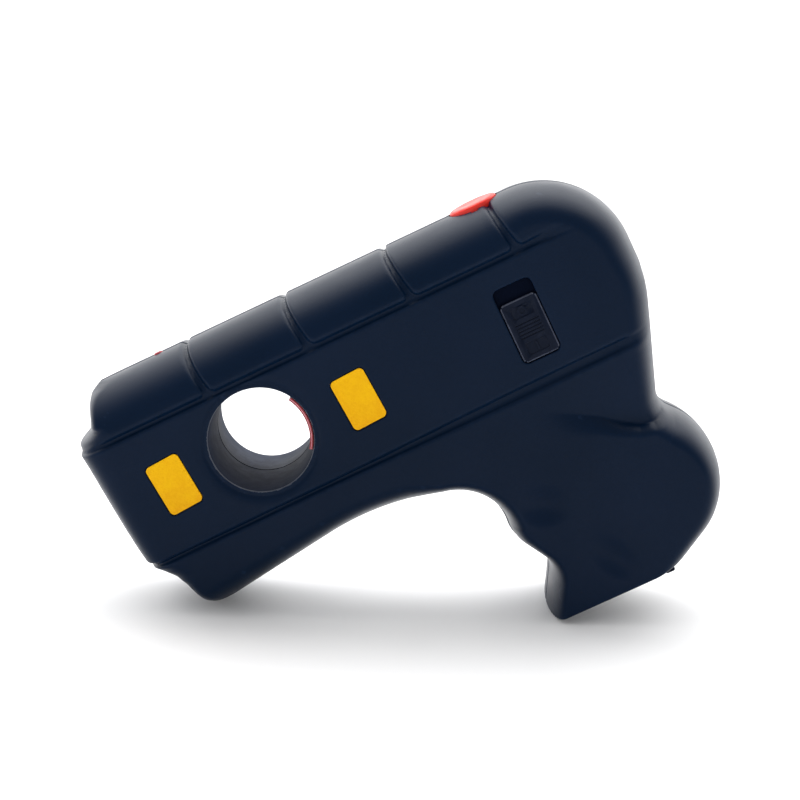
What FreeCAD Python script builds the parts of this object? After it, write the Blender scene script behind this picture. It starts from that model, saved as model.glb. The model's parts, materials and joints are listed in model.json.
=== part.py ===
"""Hand-held speed radar gun: two-half moulded housing, cross bore, controls, electronics and cells.

Everything is drawn in the gun's own frame, in millimetres: u runs back along the barrel, y across
it (the left side is at -y), w up from the barrel, with the origin on the axis of the cross bore.
put() then lays the gun down as it rests, nose corner and grip toe on the ground, with +Z up.
"""
import FreeCAD, Part
import math
import os

V = FreeCAD.Vector

# ---- driving dimensions -------------------------------------------------------------------------
TILT = 26.7             # barrel's slope when the gun lies on its nose and its toe, degrees
HALF_T = 26.0           # half the thickness of the housing
WALL = 2.4              # housing wall
TOP_ROUND = 18.0        # rounding of the long edges along the crest, the dome and the palm swell
UNDER_ROUND = 12.0      # rounding of the long edges along the underside and the grip front
CREST = 37.5            # height of the crest above the bore axis
DOME_R = 31.0           # radius of the rear dome
BASE_W = -99.5          # level of the grip's base
BASE_ROUND = 1.2

# Side outline: corner points (u, w) and the radius that rounds each of them.
OUTLINE = [
    (-90, CREST, 0), (138.3, CREST, DOME_R), (138.3, -8, 45), (124.6, -49.6, 8),
    (135.4, -61.5, 27), (135, -89, 27), (98, -108.5, 0), (54.6, -108.5, 0),
    (69, -83, 9), (60.2, -69.5, 13), (62, -48.2, 18), (20, -41.2, 90), (-90, -56.2, 0),
]

NOSE_U = -58.6          # nose face at the height of the bore axis
NOSE_LEAN = 4.0         # its lean, degrees, bottom to the rear
NOSE_ROUND = 3.0
RIB_FRONT_U = -50.4     # front end of the rib above the side panel
UPPER_LINE = 20.8       # groove between the top rib and the side panel
LOWER_LINE = -23.0      # groove between the side panel and the bottom rib
CHIN = [(-79.6, 2.5), (-41.2, -44.6)]   # sloping cut from ahead of the nose to the bottom rib's end
LINE_R = 1.1            # radius of both long grooves
CROSS_GROOVES = [-12.0, 24.6, 61.8, 99.3]
CROSS_GROOVE = 1.8      # width of a groove across the crest
CROSS_DEPTH = 0.8

BORE_R = 16.2           # cross bore
FLARE_R = 18.2          # bore's mouth
FLARE_DEPTH = 4.0
STRIP_T = 1.1           # red strip let into the bore wall
STRIP_ANGLES = (-37, 30)

MARKER = (12.0, 18.2, 0.8)
MARKER_POCKET = 0.9
MARKERS = {"front": (-32.4, -1.1, 4.0), "rear": (35.1, -1.2, 3.0)}

CAP = (12.8, 20.6, 1.5)  # slide switch cap
CAP_AT = (95.6, -3.7)
CAP_TRAVEL = 4.6
CAP_POCKET = 1.8
PAD_IN = 22.0           # inner face of the thick pad behind the switch pocket

BUTTON_R = 8.4
BUTTON_U = 95.3
BUTTON_TOP = 38.3
LENS_U = -22.3
LENS_R = 1.9
ANTENNA_U = -51.0       # front face of the antenna board

TRIGGER_HALF_Y = 7.7
TRIGGER_W = (-70.9, -54.9)
TRIGGER_PROUD = 0.9
PIVOT = (65.6, -50.6)
PIN_R = 1.5

CELL_R = 7.2            # AA cell
CELL_L = 50.3
CELL_W0 = -97.6
CELL_U = (84.2, 99.2)
CELL_Y = 7.5
TRAY = (75.6, 107.8, 16.2)   # first and last u, half width
TRAY_W0 = BASE_W + WALL
SPRING_R = 2.6          # contact springs: three rings each
SPRING_WIRE_R = 0.25
BRIDGE_R = 0.15
SPRING_PITCH = 0.9
SPRING_H = 2 * SPRING_PITCH
CONTACT_W = CELL_W0 + CELL_L + 0.3 + SPRING_H + 0.4     # plates at the inner end of the tray
TRAY_TOP = CONTACT_W + 1.4

COVER_U0 = 72.0
COVER_HALF_Y = 17.0
COVER_T = 1.7
COVER_GAP = 0.2

WINDOW_W = (-26.0, -3.0)
WINDOW_HALF_Y = 10.5
DISPLAY_U = 122.8       # back of the display module, against its board

CASE_SCREWS = [(-41, 26), (-36.5, -31), (27, -29.5), (111, 24), (69.8, -92.6), (115, -62)]
BOARD = (24.0, 86.0, -15.0, 27.0)    # main board: u and w limits
BOARD_Y = 4.0
BOARD_T = 1.6
BOARD_SCREWS = [(28, 23), (82, 23), (28, -11), (82, -11)]

FAR = 400.0


# ---- helpers ------------------------------------------------------------------------------------
def box(u0, u1, y0, y1, w0, w1):
    return Part.makeBox(u1 - u0, y1 - y0, w1 - w0, V(u0, y0, w0))


def rod(u, w, r, y0, y1):
    """Cylinder along y."""
    return Part.makeCylinder(r, y1 - y0, V(u, y0, w), V(0, 1, 0))


def post(u, y, r, w0, w1):
    """Cylinder along w."""
    return Part.makeCylinder(r, w1 - w0, V(u, y, w0), V(0, 0, 1))


def offset_corners(corners, inset):
    """The corners of the outline moved inwards by inset (the outline runs clockwise)."""
    out = []
    n = len(corners)
    for i in range(n):
        before, here, after = (V(*c[:2], 0) for c in (corners[i - 1], corners[i], corners[(i + 1) % n]))
        d1 = (here - before).normalize()
        d2 = (after - here).normalize()
        n1 = V(d1.y, -d1.x, 0)
        n2 = V(d2.y, -d2.x, 0)
        middle = (n1 + n2) * (inset / (1 + n1.dot(n2)))
        turn = d1.x * d2.y - d1.y * d2.x
        r = corners[i][2]
        if r:
            r = r - inset if turn < 0 else r + inset
        out.append((here.x + middle.x, here.y + middle.y, r))
    return out


def rounded_face(corners, y):
    """Flat face at y whose corners are joined by straight runs and tangent arcs."""
    n = len(corners)
    ends = []
    for i, (u, w, r) in enumerate(corners):
        here = V(u, y, w)
        if not r:
            ends.append((here, here, None))
            continue
        to_before = (V(corners[i - 1][0], y, corners[i - 1][1]) - here).normalize()
        to_after = (V(corners[(i + 1) % n][0], y, corners[(i + 1) % n][1]) - here).normalize()
        half = math.acos(to_before.dot(to_after)) / 2
        reach = r / math.tan(half)
        bisector = (to_before + to_after).normalize()
        middle = here + bisector * (r / math.sin(half) - r)
        ends.append((here + to_before * reach, here + to_after * reach, middle))
    edges = []
    for i in range(n):
        start, stop, middle = ends[i]
        if middle:
            edges.append(Part.Arc(start, middle, stop).toShape())
        following = ends[(i + 1) % n][0]
        if stop.distanceToPoint(following) > 1e-6:
            edges.append(Part.makeLine(stop, following))
    return Part.Face(Part.Wire(edges))


def body(inset=0.0, rounded=True):
    """The housing's outer form, or the same form set in by inset."""
    half = HALF_T - inset
    prism = rounded_face(offset_corners(OUTLINE, inset), -half).extrude(V(0, 2 * half, 0))
    upper, lower = [], []
    for edge in prism.Edges:
        c = edge.CenterOfMass
        on_side = abs(abs(c.y) - half) < 1e-3
        closing = c.x < -85 or (c.z < -102 and c.x < 99)
        if on_side and not closing:
            above = c.z > 0 or c.x > 105
            (upper if above else lower).append(edge)
    prism = prism.makeFillet(TOP_ROUND - inset, upper)
    lower_again = []
    for edge in prism.Edges:
        if any(edge.CenterOfMass.distanceToPoint(old.CenterOfMass) < 1e-3 for old in lower):
            lower_again.append(edge)
    prism = prism.makeFillet(UNDER_ROUND - inset, lower_again)

    lean = math.tan(math.radians(NOSE_LEAN))
    nose = side_block([(-FAR, 60), (NOSE_U - 60 * lean + inset, 60),
                       (NOSE_U + 60 * lean + inset, -60), (-FAR, -60)])
    chin = side_block([(-FAR, CHIN[0][1] + inset)] + [(u + inset, w + inset) for u, w in CHIN]
                      + [(CHIN[-1][0] + inset, -80), (-FAR, -80)])
    brow = box(-FAR, RIB_FRONT_U + inset, -60, 60, UPPER_LINE - inset, 80)
    below_base = box(0, 200, -60, 60, -150, BASE_W + inset)
    form = prism.cut(nose).cut(brow).cut(chin).cut(below_base)
    if rounded:
        ends = [e for e in form.Edges if is_end_edge(e)]
        form = form.makeFillet(NOSE_ROUND, ends)
        base = [e for e in form.Edges if abs(e.CenterOfMass.z - BASE_W) < 1e-3 and e.Length > 1]
        form = form.makeFillet(BASE_ROUND, base)
    return form


def side_block(points):
    """Block through the whole thickness whose side view is a polygon."""
    corners = [V(u, -FAR / 2, w) for u, w in points]
    return Part.Face(Part.makePolygon(corners + corners[:1])).extrude(V(0, FAR, 0))


def is_end_edge(edge):
    """True for the outer edges of the nose: its face and the front ends of both ribs."""
    c = edge.CenterOfMass
    along = [v.Point.x for v in edge.Vertexes] or [c.x]
    rib_end = all(abs(x - RIB_FRONT_U) < 1e-3 for x in along) and c.z > UPPER_LINE + 1
    lower_end = all(abs(x - CHIN[-1][0]) < 1e-3 for x in along) and c.z < CHIN[-1][1] - 1
    face_u = NOSE_U - c.z * math.tan(math.radians(NOSE_LEAN))
    nose_end = abs(c.x - face_u) < 1e-3
    return rib_end or lower_end or nose_end


def put(shape):
    """Lay the gun down: tilt it nose down, then stand it on z = 0 under the middle of its box."""
    laid = shape.copy()
    laid.rotate(V(0, 0, 0), V(0, 1, 0), -TILT)
    laid.translate(LIFT)
    return laid


def rounded_plate(width, height, corner, u, w, lean, y0, y1):
    """Rounded rectangle in the side plane, leaning by some degrees, between y0 and y1."""
    hw, hh = width / 2, height / 2
    corners = [(-hw, hh, corner), (hw, hh, corner), (hw, -hh, corner), (-hw, -hh, corner)]
    plate = rounded_face(corners, y0).extrude(V(0, y1 - y0, 0))
    plate.rotate(V(0, 0, 0), V(0, 1, 0), -lean)
    plate.translate(V(u, 0, w))
    return plate


def mirror(shape):
    """The same piece on the other side of the seam plane."""
    return shape.mirror(V(0, 0, 0), V(0, 1, 0))


def bent_tube(points, radius, bend):
    """Tube along straight runs joined by tangent arcs of one bend radius."""
    edges = []
    start = points[0]
    for before, corner, after in zip(points, points[1:], points[2:]):
        a = (before - corner).normalize()
        b = (after - corner).normalize()
        half = math.acos(a.dot(b)) / 2
        reach = bend / math.tan(half)
        middle = corner + (a + b).normalize() * (bend / math.sin(half) - bend)
        edges.append(Part.makeLine(start, corner + a * reach))
        edges.append(Part.Arc(corner + a * reach, middle, corner + b * reach).toShape())
        start = corner + b * reach
    edges.append(Part.makeLine(start, points[-1]))
    path = Part.Wire(edges)
    section = Part.Wire(Part.makeCircle(radius, points[0], points[1] - points[0]))
    return path.makePipeShell([section], True, False)


# ---- housing ------------------------------------------------------------------------------------
def groove_rods():
    """Cutters for the two long grooves on each side; they rise out of the surface at the rear."""
    rods = []
    for side in (-1, 1):
        for front, rear in (((RIB_FRONT_U + 4, UPPER_LINE - 0.5), (122, UPPER_LINE + 0.2)),
                            ((-70, LOWER_LINE - 1.3), (130, LOWER_LINE + 1.6))):
            start = V(front[0], side * (HALF_T + 0.2), front[1])
            stop = V(rear[0], side * (HALF_T + 0.9), rear[1])
            rods.append(Part.makeCylinder(LINE_R, start.distanceToPoint(stop), start, stop - start))
    return rods


def cross_grooves(form):
    """Rings cut into the top rib, following its round section."""
    core = body(CROSS_DEPTH, rounded=False)
    rings = []
    for u in CROSS_GROOVES:
        slab = box(u - CROSS_GROOVE / 2, u + CROSS_GROOVE / 2, -60, 60, UPPER_LINE, 80)
        rings.append(slab.common(form).cut(core))
    return rings


def bore_cutter():
    straight = rod(0, 0, BORE_R, -60, 60)
    flare = Part.makeCone(FLARE_R, BORE_R, FLARE_DEPTH, V(0, -HALF_T, 0), V(0, 1, 0))
    return straight.fuse([flare, mirror(flare)])


def strip_sector(r0, r1, y0, y1):
    """Sector of a ring round the bore between the strip's end angles."""
    ring = rod(0, 0, r1, y0, y1).cut(rod(0, 0, r0, y0, y1))
    sides = [(60 * math.cos(math.radians(a)), 60 * math.sin(math.radians(a))) for a in STRIP_ANGLES]
    return ring.common(side_block([(0, 0)] + sides))


def window_block():
    """Rounded rectangle across the rear face, as deep as the wall and more."""
    height = WINDOW_W[1] - WINDOW_W[0]
    block = rounded_plate(2 * WINDOW_HALF_Y, height, 2.5, 0, sum(WINDOW_W) / 2, 0, 125, 145)
    block.rotate(V(0, 0, 0), V(0, 0, 1), -90)
    return block


def inner_ribs():
    """Ribs that hold the boards and the battery tray, mirrored on both halves."""
    ribs = []
    side_ribs = [
        box(ANTENNA_U - 2, ANTENNA_U + 5, 10, 25, 15, 17),
        box(ANTENNA_U - 2, ANTENNA_U + 5, 10, 25, -19, -17),
        box(-31, -28, 7, 25, 27, 31), box(-17, -14, 7, 25, 27, 31),
        box(84, 86, 9, 25, 21, 25), box(104.6, 106.6, 9, 25, 21, 25),
        box(120.4, 128, 14, 25, -14, -12),
        box(79, 81, TRAY[2], 25, -92, -50), box(102, 104, TRAY[2], 25, -92, -50),
    ]
    for rib in side_ribs:
        ribs += [rib, mirror(rib)]
    return ribs


def trigger_bosses():
    """Two bosses that carry the ends of the trigger pin."""
    boss = rod(PIVOT[0], PIVOT[1], 3.2, 5.6, 25)
    return [boss, mirror(boss)]


def cover_channel(gap):
    """The battery cover's plate and side tongues, grown by gap; open to the rear."""
    plate = box(COVER_U0 - gap, 140, -COVER_HALF_Y - gap, COVER_HALF_Y + gap,
                BASE_W - 5, BASE_W + COVER_T + gap)
    tongue = box(COVER_U0 - gap, 140, -COVER_HALF_Y - 1.2 - gap, COVER_HALF_Y + 1.2 + gap,
                 BASE_W + 0.7 - gap, BASE_W + COVER_T + gap)
    return plate.fuse(tongue)


def shells():
    form = body()
    cavity = body(WALL, rounded=False)
    clip = body(WALL - 0.8, rounded=False)

    inside = [rod(0, 0, BORE_R + WALL, -HALF_T, HALF_T)]
    inside += inner_ribs() + trigger_bosses()
    for u, w in CASE_SCREWS:
        inside.append(rod(u, w, 3.4, -25, 0))
        inside.append(rod(u, w, 4.4, 0, 25))
    for u, w in BOARD_SCREWS:
        inside.append(rod(u, w, 2.6, BOARD_Y + BOARD_T, 25))
    pad = box(CAP_AT[0] - 9, CAP_AT[0] + 9, -25, -PAD_IN, CAP_AT[1] - 13, CAP_AT[1] + 18)
    base_pad = box(60, 125, -25, 25, BASE_W, BASE_W + COVER_T + 2.2)
    base_pad = base_pad.cut(box(TRAY[0], TRAY[1], -TRAY[2], TRAY[2], TRAY_W0, 0))
    inside += [pad, base_pad]
    inside = [piece.common(clip) for piece in inside]
    housing = form.cut(cavity).fuse(inside)

    holes = [bore_cutter(), strip_sector(BORE_R - 1, BORE_R + STRIP_T + 0.05, -30, -0.9)]
    holes += groove_rods()
    holes += cross_grooves(form)
    for u, w, lean in MARKERS.values():
        pocket = rounded_plate(MARKER[0] + 0.4, MARKER[1] + 0.4, 1.8, u, w, lean,
                               -HALF_T - 5, -HALF_T + MARKER_POCKET)
        holes += [pocket, mirror(pocket)]
    cap_u, cap_w = CAP_AT
    pocket_top = CAP[1] + CAP_TRAVEL + 0.8
    holes.append(rounded_plate(CAP[0] + 0.6, pocket_top, 2.2, cap_u,
                               cap_w + (pocket_top - CAP[1]) / 2 - 0.4, 0,
                               -HALF_T - 5, -HALF_T + CAP_POCKET))
    holes.append(box(cap_u - 2.2, cap_u + 2.2, -30, -15, cap_w - 2.2, cap_w + 2.2 + CAP_TRAVEL))
    holes.append(post(BUTTON_U, 0, BUTTON_R + 0.3, 30, 45))
    holes.append(post(LENS_U, 0, LENS_R + 0.05, 30, 45))
    holes.append(box(50, 66, -TRIGGER_HALF_Y - 0.3, TRIGGER_HALF_Y + 0.3,
                     TRIGGER_W[0] - 1.2, TRIGGER_W[1] + 0.7))
    holes.append(window_block())
    holes.append(box(TRAY[0], TRAY[1], -TRAY[2] + 1, TRAY[2] - 1, BASE_W - 5, BASE_W + 5))
    holes.append(cover_channel(COVER_GAP))
    holes.append(rod(PIVOT[0], PIVOT[1], PIN_R, -12, 12))
    for u, w in CASE_SCREWS:
        holes.append(rod(u, w, 1.45, -12.5, 0))
        holes.append(rod(u, w, 1.7, 0, 12))
        holes.append(rod(u, w, 3.0, 12, 40))
    for u, w in BOARD_SCREWS:
        holes.append(rod(u, w, 0.95, BOARD_Y, BOARD_Y + 8))
    for hole in holes:
        housing = housing.cut(hole)
    left = housing.common(box(-FAR, FAR, -FAR, 0, -FAR, FAR))
    right = housing.common(box(-FAR, FAR, 0, FAR, -FAR, FAR))
    return left, right


# ---- outside fittings ---------------------------------------------------------------------------
def marker(where, side):
    u, w, lean = MARKERS[where]
    outer = -HALF_T + MARKER_POCKET - MARKER[2]
    plate = rounded_plate(MARKER[0], MARKER[1], 1.6, u, w, lean, outer, outer + MARKER[2])
    return plate if side == "left" else mirror(plate)


def power_slider():
    u, w = CAP_AT
    floor = -HALF_T + CAP_POCKET - 0.15
    cap = rounded_plate(CAP[0], CAP[1], 2.0, u, w, 0, floor - CAP[2], floor)
    front = [e for e in cap.Edges if abs(e.CenterOfMass.y - (floor - CAP[2])) < 1e-3]
    cap = cap.makeChamfer(0.35, front)
    for i in range(5):
        ridge_w = w - 2.4 + 1.2 * i
        cap = cap.cut(box(u - 4.6, u + 4.6, -30, floor - CAP[2] + 0.25, ridge_w, ridge_w + 0.5))
    stem = box(u - 1.8, u + 1.8, floor, -PAD_IN + 0.8, w - 1.8, w + 1.8)
    return cap.fuse(stem)


def power_switch():
    u, w = CAP_AT
    middle = w + CAP_TRAVEL / 2
    case = box(u - 4, u + 4, -20.9, -14.9, middle - 9.5, middle + 9.5)
    feet = [box(u - 4, u + 4, -PAD_IN, -20.9, middle - 9.5, middle - 7),
            box(u - 4, u + 4, -PAD_IN, -20.9, middle + 7, middle + 9.5)]
    legs = [box(u - 0.3, u + 0.3, -14.9, -11.5, middle + step - 0.6, middle + step + 0.6)
            for step in (-5, 0, 5)]
    return case.fuse(feet + legs)


def hold_button():
    head = post(BUTTON_U, 0, BUTTON_R, 33.2, BUTTON_TOP)
    rim = [e for e in head.Edges if abs(e.CenterOfMass.z - BUTTON_TOP) < 1e-3]
    head = head.makeFillet(0.9, rim)
    flange = post(BUTTON_U, 0, BUTTON_R + 1.2, 31.6, 33.2)
    stem = post(BUTTON_U, 0, 2.0, 29.4, 31.6)
    return head.fuse([flange, stem])


def button_board():
    return box(86, 104.6, -9, 9, 22, 23.6)


def button_switch():
    case = box(BUTTON_U - 3, BUTTON_U + 3, -3, 3, 23.6, 26.9)
    return case.fuse(post(BUTTON_U, 0, 1.7, 26.9, 27.8))


def front_lens():
    lens = post(LENS_U, 0, LENS_R, 34.6, 38.0)
    rim = [e for e in lens.Edges if abs(e.CenterOfMass.z - 38.0) < 1e-3]
    return lens.makeFillet(1.2, rim)


def led_board():
    return box(-30.5, -14.5, -7, 7, 28, 29.2)


def indicator_led():
    bulb = post(LENS_U, 0, 1.5, 30.0, 33.0)
    tip = Part.makeSphere(1.5, V(LENS_U, 0, 33.0))
    return bulb.fuse([tip, post(LENS_U, 0, 1.8, 29.2, 30.0)])


def bore_window():
    return strip_sector(BORE_R, BORE_R + STRIP_T, -24.0, -1.0)


def display_window():
    skin = body(0.0, rounded=False).cut(body(1.6, rounded=False))
    return skin.common(window_block())


def display_module():
    frame = box(DISPLAY_U, DISPLAY_U + 4.6, -13.5, 13.5, -27, 1)
    return frame.cut(box(DISPLAY_U + 4.0, DISPLAY_U + 5, -10, 10, -24, -3))


def display_board():
    return box(DISPLAY_U - BOARD_T, DISPLAY_U, -14, 14, -28, 2)


# ---- trigger ------------------------------------------------------------------------------------
def trigger():
    skin = body(-TRIGGER_PROUD, rounded=False).cut(body(1.8, rounded=False))
    pad = skin.common(box(50, 66, -TRIGGER_HALF_Y, TRIGGER_HALF_Y, *TRIGGER_W))
    u, w = PIVOT
    arm = side_block([(60, -69), (64.5, -69), (u + 3, w), (u - 1.2, w), (62.1, -56.5), (60, -57.5)])
    hub = rod(u, w, 3.2, -5.3, 5.3)
    inside = arm.common(box(0, FAR, -3, 3, -FAR, 0)).fuse(hub).common(body(0.6, rounded=False))
    return pad.fuse(inside).cut(rod(u, w, PIN_R + 0.05, -20, 20))


def trigger_pin():
    return rod(PIVOT[0], PIVOT[1], PIN_R, -11.5, 11.5)


def trigger_spring():
    """Return spring wound round the trigger's hub, with one leg along the arm."""
    u, w = PIVOT
    turns = [Part.makeTorus(3.65, 0.4, V(u, y, w), V(0, 1, 0)) for y in (3.5, 4.35)]
    leg = rod(u + 3.65, w, 0.4, 3.5, 4.35)
    return turns[0].fuse([leg, turns[1]])


def trigger_switch():
    case = box(68.6, 73.4, -4, 4, -70, -60)
    return case.fuse(box(67.6, 68.6, -1.2, 1.2, -67.4, -65))


def trigger_bracket():
    """Plate between the halves that carries the trigger's switch."""
    return box(73.4, 75.0, -9, 9, -72, -52)


# ---- electronics --------------------------------------------------------------------------------
def antenna_board():
    return box(ANTENNA_U, ANTENNA_U + BOARD_T, -18, 18, -17, 15)


def antenna_patches():
    patches = [box(ANTENNA_U - 0.3, ANTENNA_U, y - 5, y + 5, w - 5, w + 5)
               for y in (-8, 8) for w in (-9, 7)]
    return Part.makeCompound(patches)


def radar_shield():
    u0 = ANTENNA_U + BOARD_T
    can = box(u0, u0 + 7.4, -12, 12, -12, 10)
    return can.cut(box(u0 - 0.1, u0 + 6.9, -11.5, 11.5, -11.5, 9.5))


def main_board():
    u0, u1, w0, w1 = BOARD
    board = box(u0, u1, BOARD_Y, BOARD_Y + BOARD_T, w0, w1)
    for u, w in BOARD_SCREWS:
        board = board.cut(rod(u, w, 1.15, BOARD_Y - 1, BOARD_Y + 3))
    return board


def board_chips():
    """Processor, signal chip, regulator and a row of capacitors on the main board."""
    chips = [box(52, 66, BOARD_Y - 1.4, BOARD_Y, 2, 16), box(36, 45, BOARD_Y - 1.2, BOARD_Y, 6, 13),
             box(70, 77, BOARD_Y - 2.2, BOARD_Y, -8, -2)]
    chips += [rod(34 + 7 * i, 22, 2.4, BOARD_Y - 6, BOARD_Y) for i in range(5)]
    return Part.makeCompound(chips)


def buzzer():
    case = rod(40, -6, 6, BOARD_Y - 5.5, BOARD_Y)
    return case.cut(rod(40, -6, 1.2, BOARD_Y - 6, BOARD_Y - 4.5))


def board_screws():
    screws = []
    for u, w in BOARD_SCREWS:
        head = rod(u, w, 1.9, BOARD_Y - 1.3, BOARD_Y)
        slot = box(u - 1.4, u + 1.4, BOARD_Y - 1.4, BOARD_Y - 0.8, w - 0.25, w + 0.25)
        screws.append(head.fuse(rod(u, w, 0.95, BOARD_Y, BOARD_Y + 7)).cut(slot))
    return Part.makeCompound(screws)


def case_screws():
    screws = []
    for u, w in CASE_SCREWS:
        head = rod(u, w, 2.75, 12, 14.2)
        arms = [box(u - 1.6, u + 1.6, 13.2, 15, w - 0.3, w + 0.3),
                box(u - 0.3, u + 0.3, 13.2, 15, w - 1.6, w + 1.6)]
        screws.append(head.fuse(rod(u, w, 1.45, -11.5, 12)).cut(arms[0]).cut(arms[1]))
    return Part.makeCompound(screws)


def antenna_lead():
    """Coaxial lead from the radar can, over the bore, to the main board."""
    can_back = ANTENNA_U + BOARD_T + 7.4
    return bent_tube([V(can_back, 9, 5), V(-30, 9, 5), V(-30, 9, 24), V(19, 9, 24), V(19, 0, 11),
                      V(31, 0, 9), V(31, BOARD_Y, 9)], 0.9, 2.4)


def battery_leads():
    leads = [bent_tube([V(80, y, TRAY_TOP), V(80, y, -32), V(70, y, -20), V(70, y, -10)], 0.7, 4.0)
             for y in (1.0, 2.9)]
    return Part.makeCompound(leads)


# ---- power --------------------------------------------------------------------------------------
def cell(u, y):
    """AA cell, its button end up."""
    can = post(u, y, CELL_R, CELL_W0, CELL_W0 + CELL_L - 1.3)
    rims = [e for e in can.Edges if e.Closed and e.Length > 1]
    can = can.makeFillet(0.5, rims)
    return can.fuse(post(u, y, 2.7, CELL_W0 + CELL_L - 1.3, CELL_W0 + CELL_L))


def battery_tray():
    u0, u1, half = TRAY
    top = TRAY_TOP
    block = box(u0, u1, -half, half, TRAY_W0, top)
    room = box(u0 + 1, u1 - 1, -half + 1, half - 1, BASE_W, top - 1.0)
    rib = box((u0 + u1) / 2 - 2.5, (u0 + u1) / 2 + 2.5, -0.25, 0.25, BASE_W + 5, top)
    return block.cut(room).fuse(rib)


def contact_plates():
    """Plates at the inner end of the tray, one for each row of cells."""
    plates = [box(CELL_U[0] - 6, CELL_U[1] + 6, y - 5, y + 5, CONTACT_W, CONTACT_W + 0.3)
              for y in (-CELL_Y, CELL_Y)]
    return Part.makeCompound(plates)


def contact_springs():
    """Spring at the inner end of each cell: three rings, each joined to the next by a bridge."""
    w0 = CELL_W0 + CELL_L + 0.3
    springs = []
    for u in CELL_U:
        for y in (-CELL_Y, CELL_Y):
            spring = Part.makeTorus(SPRING_R, SPRING_WIRE_R, V(u, y, w0), V(0, 0, 1))
            for level, side in ((1, 1), (2, -1)):
                w = w0 + level * SPRING_PITCH
                ring = Part.makeTorus(SPRING_R, SPRING_WIRE_R, V(u, y, w), V(0, 0, 1))
                bridge = post(u, y + side * SPRING_R, BRIDGE_R, w - SPRING_PITCH, w)
                spring = spring.fuse([ring, bridge])
            springs.append(spring)
    return Part.makeCompound(springs)


def cover_contacts():
    """Plates let into the inside of the battery cover, one under each pair of cells."""
    w = BASE_W + COVER_T
    plates = [box(u - 5, u + 5, -CELL_Y - 5, CELL_Y + 5, w - 0.3, w) for u in CELL_U]
    return Part.makeCompound(plates)


def battery_cover():
    plate = cover_channel(0.0).common(body())
    for i in range(6):
        ridge_u = 88 + 2.2 * i
        plate = plate.cut(box(ridge_u, ridge_u + 0.9, -8, 8, BASE_W - 1, BASE_W + 0.4))
    plate = plate.cut(cover_contacts())
    tab = box(102.6, 106.2, -6, 6, BASE_W - 1.3, BASE_W + 0.5)
    edges = [e for e in tab.Edges if abs(e.CenterOfMass.z - (BASE_W - 1.3)) < 1e-3]
    return plate.fuse(tab.makeFillet(0.8, edges))


# ---- assembly -----------------------------------------------------------------------------------
def laid_lift(form):
    """Shift that stands the tilted form on z = 0 with the middle of its box over the origin."""
    tilted = form.copy()
    tilted.rotate(V(0, 0, 0), V(0, 1, 0), -TILT)
    b = tilted.optimalBoundingBox(False)
    return V(-(b.XMin + b.XMax) / 2, 0, -b.ZMin)


LIFT = laid_lift(body())

nodes = dict(zip(("left_shell", "right_shell"), shells()))
for where in MARKERS:
    for side in ("left", "right"):
        nodes[f"marker_{where}_{side}"] = marker(where, side)
nodes["bore_window"] = bore_window()
nodes["power_slider"] = power_slider()
nodes["power_switch"] = power_switch()
nodes["hold_button"] = hold_button()
nodes["button_board"] = button_board()
nodes["button_switch"] = button_switch()
nodes["front_indicator_lens"] = front_lens()
nodes["indicator_led"] = indicator_led()
nodes["led_board"] = led_board()
nodes["display_window"] = display_window()
nodes["display_module"] = display_module()
nodes["display_board"] = display_board()
nodes["trigger"] = trigger()
nodes["trigger_pin"] = trigger_pin()
nodes["trigger_spring"] = trigger_spring()
nodes["trigger_switch"] = trigger_switch()
nodes["trigger_bracket"] = trigger_bracket()
nodes["antenna_board"] = antenna_board()
nodes["antenna_patches"] = antenna_patches()
nodes["radar_shield"] = radar_shield()
nodes["antenna_lead"] = antenna_lead()
nodes["main_board"] = main_board()
nodes["board_chips"] = board_chips()
nodes["buzzer"] = buzzer()
nodes["board_screws"] = board_screws()
nodes["case_screws"] = case_screws()
cell_places = [(u, y) for u in CELL_U for y in (-CELL_Y, CELL_Y)]
for number, (u, y) in enumerate(cell_places, start=1):
    nodes[f"battery_cell_{number}"] = cell(u, y)
nodes["battery_tray"] = battery_tray()
nodes["contact_plates"] = contact_plates()
nodes["contact_springs"] = contact_springs()
nodes["battery_leads"] = battery_leads()
nodes["battery_cover"] = battery_cover()
nodes["cover_contacts"] = cover_contacts()

os.makedirs("parts", exist_ok=True)
for name, shape in nodes.items():
    laid = put(shape)
    laid.exportStep(f"parts/{name}.step")
    b = laid.optimalBoundingBox(False)
    print(f"{name:22s} solids {len(laid.Solids)} volume {laid.Volume:9.1f} valid {laid.isValid()}"
          f" x {b.XMin:7.2f} {b.XMax:7.2f} y {b.YMin:6.2f} {b.YMax:6.2f} z {b.ZMin:6.2f} {b.ZMax:6.2f}")
print("lift", LIFT, "bore axis at", put(Part.Vertex(0, 0, 0)).Point)
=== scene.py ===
"""Looks of the speed radar gun: moulded shells, controls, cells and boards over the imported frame.

Forms are worked out in the gun's own frame, in millimetres: u back along the barrel, y across it
(the left side is at -y), w up from the barrel, origin on the axis of the cross bore. TO_ROW
carries them into the row frame, in metres.
"""
import json
import math

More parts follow.
